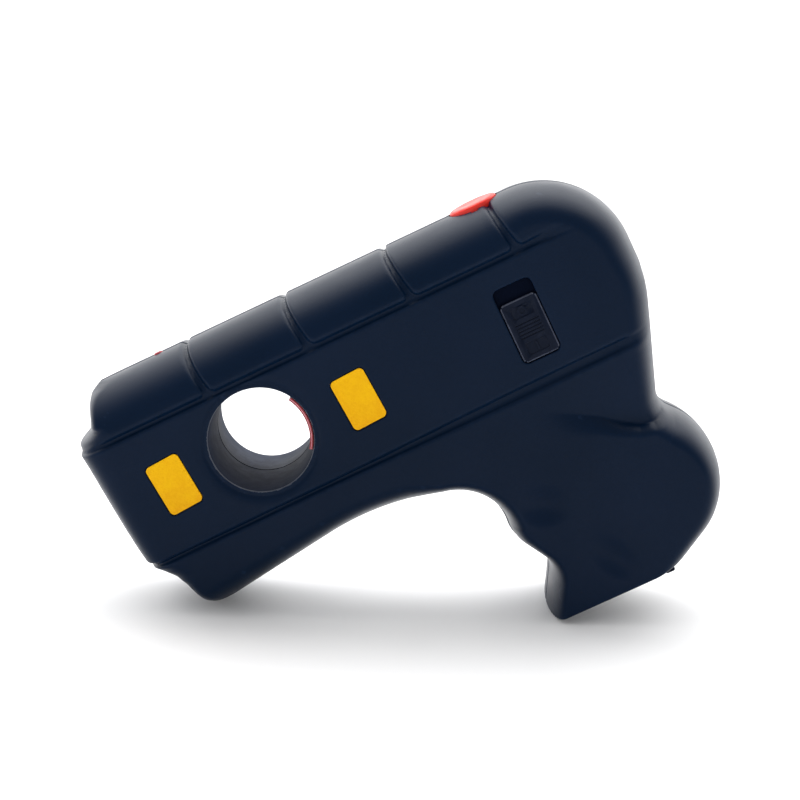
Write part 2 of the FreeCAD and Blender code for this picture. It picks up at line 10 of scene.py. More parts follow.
import bmesh
import bpy
import numpy as np
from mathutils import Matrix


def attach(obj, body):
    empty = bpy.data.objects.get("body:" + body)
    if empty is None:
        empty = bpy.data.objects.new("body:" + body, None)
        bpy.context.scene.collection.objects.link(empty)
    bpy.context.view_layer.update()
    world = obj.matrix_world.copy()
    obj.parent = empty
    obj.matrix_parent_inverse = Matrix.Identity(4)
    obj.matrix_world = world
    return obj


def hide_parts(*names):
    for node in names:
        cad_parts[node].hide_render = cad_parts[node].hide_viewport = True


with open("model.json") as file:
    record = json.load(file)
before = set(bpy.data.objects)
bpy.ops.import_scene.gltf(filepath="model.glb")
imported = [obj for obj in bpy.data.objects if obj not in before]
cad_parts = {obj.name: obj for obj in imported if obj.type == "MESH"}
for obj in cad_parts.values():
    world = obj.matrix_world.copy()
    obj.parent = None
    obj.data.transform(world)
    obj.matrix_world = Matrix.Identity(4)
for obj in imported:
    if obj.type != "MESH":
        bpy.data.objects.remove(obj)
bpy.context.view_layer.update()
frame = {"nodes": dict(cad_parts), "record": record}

import openvdb
from mathutils import Matrix, Vector

scene = bpy.context.scene
record = frame["record"]
nodes = frame["nodes"]

# ---- the gun's frame ----------------------------------------------------------------------------
mount = next(m for m in record["mounts"] if m["name"] == "cross_bore")
joints = {j["name"]: j for j in record["behaviour"]["joints"]}
U = Vector(joints["cover_slide"]["axis"]).normalized()
W = Vector(joints["power_slide"]["axis"]).normalized()
Y = Vector((0.0, 1.0, 0.0))
ORIGIN = Vector(mount["pos_m"])
MM = 0.001
TO_ROW = Matrix.Translation(ORIGIN) @ Matrix((U, Y, W)).transposed().to_4x4() @ Matrix.Scale(MM, 4)
TO_GUN = TO_ROW.inverted()


def node_box(name):
    """Lowest and highest (u, y, w) of a CAD node, in millimetres."""
    co = np.empty(len(nodes[name].data.vertices) * 3)
    nodes[name].data.vertices.foreach_get("co", co)
    turned = co.reshape(-1, 3) @ np.array(TO_GUN.to_3x3()).T + np.array(TO_GUN.translation)
    return turned.min(0), turned.max(0)


# ---- form of the housing ------------------------------------------------------------------------
HALF_T = 25.97          # half the housing's thickness
CREST = 37.5            # w of the crest
BASE_W = -99.5          # w of the grip's base
BASE_ROUND = 1.0        # radius of the base's rim
WALL = 2.4
SEAM = 0.16             # half the gap between the halves
SIDE_POWER = 2.1        # how full the side's turn to the outline is
STEP = 0.5              # sampling step of the outer form
ROUGH_STEP = 1.0        # and of the plain forms inside it

# Side outline: corner (u, w), its radius, and how far in from it the side has turned flat.
OUTLINE = [
    (-90, CREST, 0, 16.5), (96, CREST, 0, 16.0), (137.8, CREST, 31, 11.5), (137.9, -8, 45, 10.5),
    (123.6, -49.4, 8, 8), (134.8, -61.5, 27, 8.5), (134.2, -88, 27, 8.5), (98, -107.5, 0, 7),
    (54.6, -108.5, 0, 4.5), (69, -83, 9, 5.0), (60.2, -69.5, 13, 6), (62, -48.2, 18, 6.5),
    (20, -40.4, 90, 10), (-90, -56.0, 0, 12),
]
# Front profile: w, u, how far back the side turns flat, and how full its corner is.
NOSE = [
    (37.5, -43.8, 4.0, 2.2), (36.6, -46.9, 4.0, 2.2), (35.0, -48.6, 4.0, 2.2),
    (33.0, -49.6, 4.0, 2.2), (29.0, -50.7, 4.0, 2.2), (26.0, -52.1, 4.5, 2.2),
    (24.4, -54.5, 6.0, 2.4), (23.2, -57.2, 8.0, 2.6), (22.0, -59.8, 11.0, 2.9),
    (20.6, -60.3, 13.2, 3.2), (19.0, -60.0, 13.4, 3.2), (14.2, -59.6, 13.4, 3.2),
    (6.5, -59.2, 13.4, 3.2), (-1.3, -58.8, 13.4, 3.2), (-9.2, -58.3, 13.2, 3.2),
    (-17.3, -57.6, 12.6, 3.1), (-23.5, -56.8, 12.0, 3.0), (-26.5, -55.2, 11.0, 2.9),
    (-29.5, -52.4, 9.5, 2.7), (-32.3, -49.6, 8.0, 2.6), (-35.6, -47.6, 7.0, 2.5),
    (-40.0, -46.0, 6.5, 2.4), (-43.2, -44.8, 6.5, 2.4), (-46.0, -43.0, 6.5, 2.4),
    (-48.6, -39.6, 6.5, 2.4), (-52.0, -34.0, 6.5, 2.4),
]
UPPER_LINE = ((-60.0, 20.4), (122.0, 20.9))     # centre of the groove under the top rib
LOWER_LINE = ((-60.0, -24.2), (130.0, -21.5))   # and of the one above the bottom rib
UPPER_HALF = 0.55       # half width of the upper groove's floor
RIB_DEPTH = 1.4         # of the upper groove and the valleys
RIB_CORNER = 2.2        # radius of a rib's lower corners
LOWER_DEPTH = 1.35      # of the lower groove
VALLEYS = [-12.0, 24.6, 61.8, 99.3]             # u of the valleys where they cross the crest
VALLEY_DROP = 16.0      # how far down from the crest a valley runs
VALLEY_LEAN = 3.3       # and how far back it goes over that drop
PARTING = (0.6, 0.9)    # depth and half width of the V along the seam
WEB_CREASE = [(83.0, -29.0), (89.0, -31.8), (97.0, -36.4), (104.0, -41.0), (110.0, -46.0),
              (115.0, -49.2), (119.5, -50.6), (123.5, -50.0), (129.0, -45.5), (136.0, -38.0)]
WEB_DEPTH = 4.4         # how far the thumb web is pressed in at its crease
# Soft hollows in the grip: centre, radii, turn in radians, depth.
FINGER_REST = ((75.0, -60.0), (8.5, 10.5), 1.1, 1.7)
HEEL_HOLLOW = ((88.5, -86.0), (7.0, 12.0), 0.4, 1.5)
BORE_SEAM_R = 16.5
BORE_FACE_R = 17.6
DISH = (1.0, 5.0)       # depth and width of the soft mouth round the bore
RING = (0.45, 1.5, 0.9)     # depth of the ring round the bore, its distance out, its half width


def smooth(x, lo, hi):
    """0 up to lo and 1 from hi on, eased between them."""
    t = np.clip((x - lo) / (hi - lo), 0.0, 1.0)
    return t * t * (3 - 2 * t)


def arc_corners(corners, step):
    """Closed outline as points a step apart, each with the value given to its corner."""
    n = len(corners)
    points = []
    for i, (u, w, r, value) in enumerate(corners):
        here = np.array((u, w), float)
        if not r:
            points.append((u, w, value))
            continue
        a = np.array(corners[i - 1][:2], float) - here
        b = np.array(corners[(i + 1) % n][:2], float) - here
        a /= np.linalg.norm(a)
        b /= np.linalg.norm(b)
        half = math.acos(a @ b) / 2
        reach = r / math.tan(half)
        middle = here + (a + b) / np.linalg.norm(a + b) * r / math.sin(half)
        p, q = here + a * reach - middle, here + b * reach - middle
        sweep = math.pi - 2 * half
        count = max(2, int(r * sweep / step))
        for k in range(count + 1):
            t = k / count
            v = (math.sin((1 - t) * sweep) * p + math.sin(t * sweep) * q) / math.sin(sweep)
            points.append((*(middle + v), value))
    out = []
    for k, p in enumerate(points):
        q = points[(k + 1) % len(points)]
        gap = math.hypot(q[0] - p[0], q[1] - p[1])
        count = max(1, int(gap / (6 * step)))
        for j in range(count):
            out.append(tuple(p[m] + (q[m] - p[m]) * j / count for m in range(3)))
    return np.array(out)


def path_distance(uu, ww, path, closed):
    """Distance to a run of segments, share of the way along it, side (+ on its left), value."""
    best = np.full(uu.shape, 1e9)
    along = np.zeros(uu.shape)
    side = np.ones(uu.shape)
    value = np.zeros(uu.shape)
    ends = np.roll(path, -1, axis=0) if closed else path[1:]
    starts = path if closed else path[:-1]
    lengths = np.hypot(*(ends - starts)[:, :2].T)
    reached = np.concatenate(([0], np.cumsum(lengths)))
    for k, (p, q) in enumerate(zip(starts, ends)):
        if lengths[k] < 1e-9:
            continue
        du, dw = q[0] - p[0], q[1] - p[1]
        t = np.clip(((uu - p[0]) * du + (ww - p[1]) * dw) / lengths[k] ** 2, 0, 1)
        ou, ow = uu - p[0] - t * du, ww - p[1] - t * dw
        d = ou * ou + ow * ow
        near = d < best
        best = np.where(near, d, best)
        along = np.where(near, reached[k] + t * lengths[k], along)
        side = np.where(near, np.sign(du * (ww - p[1]) - dw * (uu - p[0])), side)
        if len(p) > 2:
            value = np.where(near, p[2] + t * (q[2] - p[2]), value)
    return np.sqrt(best), along / reached[-1], side, value


def inside_outline(uu, ww, path):
    """True where a point lies inside the closed run."""
    inside = np.zeros(uu.shape, bool)
    for p, q in zip(path, np.roll(path, -1, axis=0)):
        if p[1] == q[1]:
            continue
        crosses = (ww < p[1]) != (ww < q[1])
        inside ^= crosses & (uu < p[0] + (ww - p[1]) * (q[0] - p[0]) / (q[1] - p[1]))
    return inside


def line_w(line, u):
    """w of a straight line at u."""
    (u0, w0), (u1, w1) = line
    return w0 + (w1 - w0) * (u - u0) / (u1 - u0)


def bump(uu, ww, centre, radii, turn):
    """1 at the centre, falling softly to 0 at the rim of a turned ellipse."""
    c, s = math.cos(turn), math.sin(turn)
    a = ((uu - centre[0]) * c + (ww - centre[1]) * s) / radii[0]
    b = (-(uu - centre[0]) * s + (ww - centre[1]) * c) / radii[1]
    return np.clip(1 - (a * a + b * b), 0, 1) ** 2


def edge_fall(distance, width, power):
    """1 at or outside an edge, falling to 0 a width inside it."""
    return np.clip(1 - distance / width, 0, 1) ** power


def upper_carving(uu, ww):
    """Depth of the groove under the crest's ribs and of the valleys between them."""
    above = ww - line_w(UPPER_LINE, uu)
    rib_edge = above - UPPER_HALF - 1.1 * smooth(uu, 97, 118)
    down = (CREST - ww) / VALLEY_DROP
    half = 0.3 + 0.6 * np.clip(down, 0, 1)
    valley_gap = np.full(uu.shape, 1e9)
    for crest_u in VALLEYS:
        valley_gap = np.minimum(valley_gap, np.abs(uu - crest_u - VALLEY_LEAN * down) - half)
    r = RIB_CORNER
    rounded = r - np.hypot(np.clip(r - valley_gap, 0, None), np.clip(r - rib_edge, 0, None))
    inset = np.where((valley_gap < r) & (rib_edge < r), rounded, np.minimum(valley_gap, rib_edge))
    last = np.where(rib_edge < valley_gap, 1 - smooth(uu, 106, 121), 1.0)
    rib = RIB_DEPTH * edge_fall(inset, 1.5, 1.9) * last
    panel = RIB_DEPTH * edge_fall(-above - UPPER_HALF, 0.9, 1.8) * (1 - smooth(uu, 112, 125))
    return np.where(above > -UPPER_HALF, rib, panel)


def lower_carving(uu, ww):
    """Depth of the groove above the bottom rib, wider and softer towards the rear."""
    off = np.abs(ww - line_w(LOWER_LINE, uu))
    wide = smooth(uu, 10, 100)
    depth = LOWER_DEPTH * edge_fall(off - 0.45 - 0.75 * wide, 0.9 + 0.5 * wide, 1.8)
    return np.where(off < 6, depth * (1 - smooth(uu, 119, 131)), 0.0)


def rib_carving(uu, ww):
    """Depth cut from the skin by the long grooves and by the valleys across the crest."""
    return np.where(ww > 8, upper_carving(uu, ww), lower_carving(uu, ww))


def thumb_web(uu, ww):
    """Depth of the hollow at the grip's rear: wide over its crease and steep under it."""
    d, along, side, _ = path_distance(uu, ww, np.array(WEB_CREASE), False)
    depth = WEB_DEPTH * smooth(along, 0.0, 0.62)
    top = line_w(LOWER_LINE, uu) - 1.2
    room = np.maximum(top - ww, 0) + d
    over = depth * np.clip(1 - d / np.maximum(room, 1e-3), 0, 1) ** 1.1
    over *= smooth(top - ww, -0.2, 4.0)
    under = depth * np.clip(1 - d / (10 - 6.5 * smooth(along, 0.0, 0.7)), 0, 1) ** 2
    return np.where(side > 0, over, under)


def hollows(uu, ww):
    """How far the side is pressed in: thumb web, forefinger, heel and the bore's soft mouth."""
    pressed = thumb_web(uu, ww)
    for centre, radii, turn, depth in (FINGER_REST, HEEL_HOLLOW):
        pressed = pressed + depth * bump(uu, ww, centre, radii, turn)
    out = np.hypot(uu, ww) - BORE_FACE_R
    dish = DISH[0] * np.clip(1 - out / DISH[1], 0, 1) ** 1.6
    ring = RING[0] * np.clip(1 - np.abs(out - RING[1]) / RING[2], 0, 1)
    return pressed + dish + ring


def housing_field(step, y_range, plain=False):
    """Signed distance to the housing's skin (negative inside) on a grid, and the grid's corner.

    A plain field has no grooves and no parting line.
    """
    u = np.arange(-62.0, 142.0, step)
    w = np.arange(-103.0, 41.0, step)
    y = np.arange(y_range[0], y_range[1] + step / 2, step)
    uu, ww = np.meshgrid(u, w, indexing="ij")
    path = arc_corners(OUTLINE, 0.8)
    d, _, _, turn = path_distance(uu, ww, path, True)
    s = np.where(inside_outline(uu, ww, path), d, -d)
    across = 1 - np.clip(1 - s / turn, 0, None) ** SIDE_POWER

    nose = np.array(NOSE)[::-1]
    kernel = np.hanning(2 * int(1.2 / step) + 3)
    kernel /= kernel.sum()
    front = np.interp(w, nose[:, 0], nose[:, 1])
    front = np.convolve(np.pad(front, len(kernel) // 2, "edge"), kernel, "valid")
    slope = np.minimum(np.abs(np.gradient(front, step)), 1.5)
    back = np.interp(w, nose[:, 0], nose[:, 2])
    full = np.interp(w, nose[:, 0], nose[:, 3])
    behind = (uu - front) / np.sqrt(1 + slope ** 2)
    forward = 1 - np.clip(1 - behind / back, 0, None) ** full
    both = np.where((across > 0) & (forward > 0), across * forward, np.minimum(across, forward))

    half = HALF_T - hollows(uu, ww)
    g = (y[None, :, None] / half[:, None, :]) ** 2 - both[:, None, :]
    slopes = np.gradient(g, step)
    f = g / np.maximum(np.sqrt(sum(k * k for k in slopes)), 1e-4)
    if not plain:
        parting = PARTING[0] * np.clip(1 - np.abs(y) / PARTING[1], 0, 1) ** 1.3
        f = f + rib_carving(uu, ww)[:, None, :] + parting[None, :, None]
    r = BASE_ROUND
    base = (BASE_W - w)[None, None, :]
    joined = np.hypot(np.maximum(f + r, 0), np.maximum(base + r, 0)) - r
    f = np.where((f > -r) & (base > -r), joined, np.maximum(f, base))
    return f.astype(np.float32), np.array((u[0], y[0], w[0]))


# ---- meshes -------------------------------------------------------------------------------------
def mesh_object(name, points, faces):
    mesh = bpy.data.meshes.new(name)
    mesh.from_pydata([tuple(map(float, p)) for p in points], [], [tuple(map(int, f)) for f in faces])
    mesh.validate()
    obj = bpy.data.objects.new(name, mesh)
    scene.collection.objects.link(obj)
    return obj


def skin_object(name, field, corner, step, level=0.0):
    """Closed mesh of the surface where the field has a level."""
    limit = 3 * step
    grid = openvdb.FloatGrid(limit)
    grid.copyFromArray(np.ascontiguousarray(np.clip(field - level, -limit, limit)))
    grid.transform = openvdb.createLinearTransform(voxelSize=step)
    points, triangles, quads = grid.convertToPolygons(isovalue=0.0, adaptivity=0.0)
    obj = mesh_object(name, points + corner, [*triangles.tolist(), *quads.tolist()])
    bm = bmesh.new()
    bm.from_mesh(obj.data)
    if bm.calc_volume(signed=True) < 0:
        bmesh.ops.reverse_faces(bm, faces=bm.faces)
    bm.to_mesh(obj.data)
    bm.free()
    return obj


def fix_normals(obj):
    bm = bmesh.new()
    bm.from_mesh(obj.data)
    bmesh.ops.recalc_face_normals(bm, faces=bm.faces)
    bm.to_mesh(obj.data)
    bm.free()
    return obj


def box(u0, u1, y0, y1, w0, w1):
    bm = bmesh.new()
    at = Matrix.Translation(((u0 + u1) / 2, (y0 + y1) / 2, (w0 + w1) / 2))
    size = Matrix.Diagonal((u1 - u0, y1 - y0, w1 - w0, 1))
    bmesh.ops.create_cube(bm, size=1.0, matrix=at @ size)
    obj = mesh_object("box", [], [])
    bm.to_mesh(obj.data)
    bm.free()
    return fix_normals(obj)


def loft(name, loops):
    """Closed mesh through loops with equally many points, with flat ends."""
    count = len(loops[0])
    points = [point for loop in loops for point in loop]
    faces = []
    for start in range(0, len(points) - count, count):
        for k in range(count):
            a, b = start + k, start + (k + 1) % count
            faces.append((a, b, b + count, a + count))
    faces.append(tuple(range(count)))
    faces.append(tuple(range(len(points) - count, len(points)))[::-1])
    return fix_normals(mesh_object(name, points, faces))


def turned(profile, axis, at, segments=96):
    """Solid of revolution: (distance along the axis, radius) pairs, about y or w through a point."""
    loops = []
    for along, radius in profile:
        angles = [2 * math.pi * k / segments for k in range(segments)]
        ring = [(radius * math.cos(a), radius * math.sin(a)) for a in angles]
        if axis == "y":
            loops.append([(at[0] + c, at[1] + along, at[2] + s) for c, s in ring])
        else:
            loops.append([(at[0] + c, at[1] + s, at[2] + along) for c, s in ring])
    return loft("turned", loops)


def rounded_loop(width, height, r, steps=8):
    """Corner points of a rounded rectangle round (0, 0)."""
    loop = []
    for cx, cy, start in ((1, 1, 0), (-1, 1, 90), (-1, -1, 180), (1, -1, 270)):
        for k in range(steps + 1):
            a = math.radians(start + 90 * k / steps)
            loop.append((cx * (width / 2 - r) + r * math.cos(a), cy * (height / 2 - r) + r * math.sin(a)))
    return loop


def plate(across, w, width, height, r, levels, lean=0.0, axis="y"):
    """Plate with rounded corners, built along y or u: levels are (place along it, growth) pairs.

    across is the middle's u, or its y where the axis is u. lean turns the plate, in degrees.
    """
    c, s = math.cos(math.radians(lean)), math.sin(math.radians(lean))
    loops = []
    for place, grow in levels:
        flat = rounded_loop(width + 2 * grow, height + 2 * grow, max(r + grow, 0.05))
        flat = [(across + a * c - b * s, w + a * s + b * c) for a, b in flat]
        loops.append([(a, place, b) if axis == "y" else (place, a, b) for a, b in flat])
    return loft("plate", loops)


def sector(r0, r1, a0, a1, y0, y1, steps=24):
    """Part of a ring round the bore's axis between two angles, in degrees."""
    loops = []
    for k in range(steps + 1):
        a = math.radians(a0 + (a1 - a0) * k / steps)
        loops.append([(r * math.cos(a), y, r * math.sin(a))
                      for r, y in ((r0, y0), (r1, y0), (r1, y1), (r0, y1))])
    return loft("sector", loops)


def copied(obj):
    copy = bpy.data.objects.new(obj.name, obj.data.copy())
    scene.collection.objects.link(copy)
    return copy


def mirrored(obj):
    """Copy of an object on the other side of the seam plane."""
    copy = copied(obj)
    copy.data.transform(Matrix.Diagonal((1, -1, 1, 1)))
    copy.data.flip_normals()
    return copy


def drop(*objs):
    for o in objs:
        mesh = o.data
        bpy.data.objects.remove(o)
        if mesh.users == 0:
            bpy.data.meshes.remove(mesh)


def combine(obj, tools, operation):
    """Boolean of an object with several closed tools, which are used up."""
    for tool in tools:
        mod = obj.modifiers.new("cut", "BOOLEAN")
        mod.object = tool
        mod.operation = operation
        mod.solver = "MANIFOLD"
        evaluated = obj.evaluated_get(bpy.context.evaluated_depsgraph_get())
        mesh = bpy.data.meshes.new_from_object(evaluated)
        if len(mesh.polygons) < 4:
            raise ValueError(f"{operation} left nothing of {obj.name}")
        old = obj.data
        obj.modifiers.clear()
        obj.data = mesh
        bpy.data.meshes.remove(old)
    drop(*tools)
    return obj


def cut(obj, *tools):
    return combine(obj, tools, "DIFFERENCE")


def join(obj, *tools):
    return combine(obj, tools, "UNION")


def keep(obj, *tools):
    return combine(obj, tools, "INTERSECT")


def finish_mesh(obj, name, body, angle, materials):
    """Carry a part from the gun's frame into the row frame, shade it and let it ride on its body."""
    obj.name = name
    obj.data.name = name
    obj.data.transform(TO_ROW)
    obj.data.shade_smooth()
    obj.data.set_sharp_from_angle(angle=math.radians(angle))
    picks = np.zeros(len(obj.data.polygons), np.int32)
    obj.data.polygons.foreach_get("material_index", picks)
    obj.data.materials.clear()
    for m in materials:
        obj.data.materials.append(m)
    obj.data.polygons.foreach_set("material_index", np.minimum(picks, len(materials) - 1))
    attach(obj, body)
    return obj


# ---- materials ----------------------------------------------------------------------------------
class Shader:
    """A node tree being built, with short calls for the nodes used here."""

    def __init__(self, name):
        self.material = bpy.data.materials.new(name)
        self.material.use_nodes = True
        self.tree = self.material.node_tree
        self.tree.nodes.clear()
        self.bsdf = self.node("ShaderNodeBsdfPrincipled")
        out = self.node("ShaderNodeOutputMaterial")
        self.link(self.bsdf.outputs["BSDF"], out.inputs["Surface"])
        coords = self.node("ShaderNodeTexCoord")
        self.place = coords.outputs["Object"]

    def node(self, kind, **values):
        n = self.tree.nodes.new(kind)
        for key, value in values.items():
            setattr(n, key, value)
        return n

    def link(self, a, b):
        self.tree.links.new(a, b)

    def put(self, socket, value):
        """Constant or link into an input socket."""
        if isinstance(value, bpy.types.NodeSocket):
            self.link(value, socket)
        else:
            socket.default_value = value

    def set(self, **values):
        for key, value in values.items():
            self.put(self.bsdf.inputs[key.replace("_", " ")], value)

    def noise(self, scale, detail=3.0, rough=0.5, distort=0.0, stretch=None):
        n = self.node("ShaderNodeTexNoise")
        where = self.place
        if stretch:
            m = self.node("ShaderNodeMapping")
            m.inputs["Scale"].default_value = stretch
            self.link(self.place, m.inputs["Vector"])
            where = m.outputs["Vector"]
        self.link(where, n.inputs["Vector"])
        n.inputs["Scale"].default_value = scale
        n.inputs["Detail"].default_value = detail
        n.inputs["Roughness"].default_value = rough
        n.inputs["Distortion"].default_value = distort
        return n.outputs["Fac"]

    def cells(self, scale):
        n = self.node("ShaderNodeTexVoronoi", feature="F1")
        self.link(self.place, n.inputs["Vector"])
        n.inputs["Scale"].default_value = scale
        return n.outputs["Distance"]

    def ramp(self, fac, lo, hi, a, b):
        """Straight map of fac from lo..hi to a..b, clamped."""
        n = self.node("ShaderNodeMapRange")
        self.link(fac, n.inputs["Value"])
        for key, value in (("From Min", lo), ("From Max", hi), ("To Min", a), ("To Max", b)):
            n.inputs[key].default_value = value
        return n.outputs["Result"]

    def math(self, operation, a, b):
        n = self.node("ShaderNodeMath", operation=operation)
        self.put(n.inputs[0], a)
        self.put(n.inputs[1], b)
        return n.outputs["Value"]

    def blend(self, fac, a, b):
        n = self.node("ShaderNodeMix", data_type="RGBA")
        self.put(n.inputs["Factor"], fac)
        self.put(n.inputs[6], a)
        self.put(n.inputs[7], b)
        return n.outputs[2]

    def edges(self, lo, hi):
        """1 on worn outward edges, 0 elsewhere."""
        g = self.node("ShaderNodeNewGeometry")
        return self.ramp(g.outputs["Pointiness"], lo, hi, 0.0, 1.0)

    def bump(self, height, distance):
        n = self.node("ShaderNodeBump")
        self.link(height, n.inputs["Height"])
        n.inputs["Distance"].default_value = distance
        n.inputs["Strength"].default_value = 1.0
        return n.outputs["Normal"]


def rgb(r, g, b):
    """sRGB bytes to a linear colour."""
    def lin(c):
        c /= 255
        return c / 12.92 if c <= 0.04045 else ((c + 0.055) / 1.055) ** 2.4
    return (lin(r), lin(g), lin(b), 1.0)


def shifted(colour, gain, lift=0.0):
    """Colour scaled and lifted, no brighter than white."""
    return (*(min(1.0, c * gain + lift) for c in colour[:3]), 1.0)


def moulded(name, colour, lighter, rough, grain=2600.0, grain_depth=0.00003, shine=0.08):
    """Satin moulded plastic: spark grain, slow waves, rubbed edges, scuffs."""
    s = Shader(name)
    slow = s.noise(22.0, 2.0)
    fine = s.noise(grain, 2.0, 0.6)
    pits = s.cells(grain * 0.8)
    worn = s.edges(0.505, 0.56)
    scuff = s.ramp(s.noise(160.0, 6.0, 0.7, 0.6, (1.0, 4.0, 0.4)), 0.60, 0.74, 0.0, 1.0)
    body = s.blend(s.ramp(slow, 0.35, 0.65, 0.0, 1.0), colour, lighter)
    lighter_edges = s.math("MULTIPLY", worn, s.ramp(s.noise(300.0, 4.0), 0.4, 0.7, 0.1, 0.6))
    s.set(Base_Color=s.blend(lighter_edges, body, shifted(colour, 1.9, 0.006)))
    patches = s.ramp(s.noise(70.0, 4.0, 0.6), 0.3, 0.7, rough - 0.03, rough + 0.035)
    patches = s.math("ADD", patches, s.ramp(fine, 0.3, 0.7, -0.02, 0.02))
    patches = s.math("SUBTRACT", patches, s.math("MULTIPLY", scuff, 0.03))
    patches = s.math("SUBTRACT", patches, s.math("MULTIPLY", lighter_edges, 0.06))
    s.set(Roughness=patches, Specular_IOR_Level=shine)
    height = s.math("ADD", s.math("MULTIPLY", fine, 0.6), s.math("MULTIPLY", pits, 0.5))
    s.set(Normal=s.bump(height, grain_depth))
    return s.material


HOUSING = moulded("housing_plastic", rgb(2, 20, 41), rgb(5, 23, 45), 0.33)
# Lighter, duller copy of the housing plastic for the bore wall: its colour is painted light, the
# brightness the wall catches inside the bore.
BORE_LIT_COPY = moulded("bore_painted_light", rgb(26, 35, 54), rgb(30, 39, 58), 0.6, 2600.0, 0.00004, 0.03)
# Pale plastic for the bore's rim chamfer: a painted highlight along the rim.
RIM_HIGHLIGHT = moulded("painted_rim_highlight", rgb(80, 86, 98), rgb(62, 68, 80), 0.4, 3200.0, 0.00002, 0.3)
# Pale plastic for the switch cap's rim faces: a painted highlight along its edges.
EDGE_HIGHLIGHT = moulded("painted_edge_highlight", rgb(64, 69, 84), rgb(52, 57, 72), 0.4, 3200.0, 0.00002, 0.3)
# Near black: painted shade on the switch recess and along the seam, and also used for the battery cover.
BLACK_AND_SHADE = moulded("black_and_painted_shade", rgb(1, 7, 22), rgb(3, 9, 26), 0.6, 3200.0, 0.00002, 0.03)
SWITCH = moulded("switch_plastic", rgb(6, 14, 30), rgb(8, 17, 34), 0.36, 3200.0, 0.00002)
TRAY = moulded("tray_plastic", rgb(22, 22, 24), rgb(28, 28, 31), 0.5)
PART_BLACK = moulded("part_black", rgb(24, 24, 26), rgb(31, 31, 34), 0.45, 3000.0, 0.00002)


def amber_material():
    """Reflective amber plate: fine cells, deeper orange in their middles, with pale flecks."""
    s = Shader("amber_plate")
    cells = s.cells(1500.0)
    fine = s.noise(900.0, 3.0)
    slow = s.noise(90.0, 3.0)
    tone = s.blend(s.ramp(slow, 0.35, 0.65, 0.0, 1.0), rgb(232, 166, 0), rgb(240, 184, 0))
    tone = s.blend(s.ramp(cells, 0.1, 0.6, 0.25, 0.0), tone, rgb(224, 144, 0))
    tone = s.blend(s.ramp(fine, 0.4, 0.7, 0.0, 0.25), tone, rgb(250, 198, 20))
    s.set(Base_Color=tone, Roughness=s.ramp(slow, 0.3, 0.7, 0.42, 0.52), Specular_IOR_Level=0.1)
    s.set(Normal=s.bump(cells, 0.00004))
    return s.material


def gloss_material(name, colour, deep, rough=0.25, clear=0.0):
    """Gloss plastic: slow tone changes, small pits, a rubbed rim."""
    s = Shader(name)
    slow = s.noise(60.0, 3.0)
    fine = s.noise(1800.0, 2.0)
    worn = s.edges(0.51, 0.6)
    tone = s.blend(s.ramp(slow, 0.3, 0.7, 0.0, 1.0), colour, deep)
    s.set(Base_Color=s.blend(s.math("MULTIPLY", worn, 0.3), tone, shifted(colour, 1.0, 0.12)))
    s.set(Roughness=s.math("ADD", s.ramp(s.noise(240.0, 4.0), 0.3, 0.7, rough - 0.05, rough + 0.08),
                           s.ramp(fine, 0.3, 0.7, -0.02, 0.02)))
    s.set(Transmission_Weight=clear, IOR=1.49, Specular_IOR_Level=0.25)
    s.set(Normal=s.bump(fine, 0.00001))
    return s.material


def metal_material(name, colour, rough, stretch=(1.0, 1.0, 12.0)):
    """Plated or rolled metal: drawn streaks, stains, dull spots."""
    s = Shader(name)
    streak = s.noise(500.0, 4.0, 0.6, 0.0, stretch)
    stain = s.ramp(s.noise(120.0, 4.0), 0.5, 0.75, 0.0, 0.5)
    s.set(Base_Color=s.blend(stain, colour, shifted(colour, 0.6)), Metallic=1.0)
    s.set(Roughness=s.math("ADD", s.ramp(streak, 0.3, 0.7, rough - 0.06, rough + 0.1),
                           s.math("MULTIPLY", stain, 0.2)))
    s.set(Normal=s.bump(streak, 0.00002))
    return s.material


def board_material():
    """Solder mask over copper runs: faint tracks, weave and via dots."""
    s = Shader("solder_mask")
    tracks = s.node("ShaderNodeTexBrick")
    s.link(s.place, tracks.inputs["Vector"])
    tracks.inputs["Scale"].default_value = 260.0
    tracks.inputs["Mortar Size"].default_value = 0.035
    vias = s.ramp(s.cells(420.0), 0.06, 0.1, 1.0, 0.0)
    weave = s.noise(1900.0, 2.0)
    tone = s.blend(tracks.outputs["Fac"], rgb(12, 84, 48), rgb(24, 118, 70))
    tone = s.blend(vias, tone, rgb(205, 190, 140))
    s.set(Base_Color=tone, Roughness=s.ramp(weave, 0.3, 0.7, 0.3, 0.45), Coat_Weight=0.3)
    s.set(Normal=s.bump(s.math("ADD", tracks.outputs["Fac"], weave), 0.00003))
    return s.material


CELL_BAND_W = -61.0     # w where a cell's blue ends and its band starts


def cell_material():
    """Printed sleeve: dark blue with a copper band at its upper end, finely scratched."""
    s = Shader("cell_sleeve")
    split = s.node("ShaderNodeSeparateXYZ")
    s.link(s.place, split.inputs["Vector"])
    up = s.math("ADD", s.math("MULTIPLY", split.outputs["X"], W.x),
                s.math("MULTIPLY", split.outputs["Z"], W.z))
    top = (ORIGIN + W * CELL_BAND_W * MM).dot(W)
    band = s.ramp(up, top - 0.0002, top + 0.0002, 0.0, 1.0)
    scratch = s.noise(420.0, 5.0, 0.6, 0.2, (1.0, 1.0, 5.0))
    tone = s.blend(band, rgb(30, 66, 120), rgb(196, 150, 60))
    s.set(Base_Color=s.blend(s.ramp(scratch, 0.55, 0.8, 0.0, 0.4), tone, rgb(150, 160, 175)))
    s.set(Metallic=0.5, Roughness=s.ramp(scratch, 0.3, 0.7, 0.25, 0.42))
    s.set(Normal=s.bump(scratch, 0.00001))
    return s.material


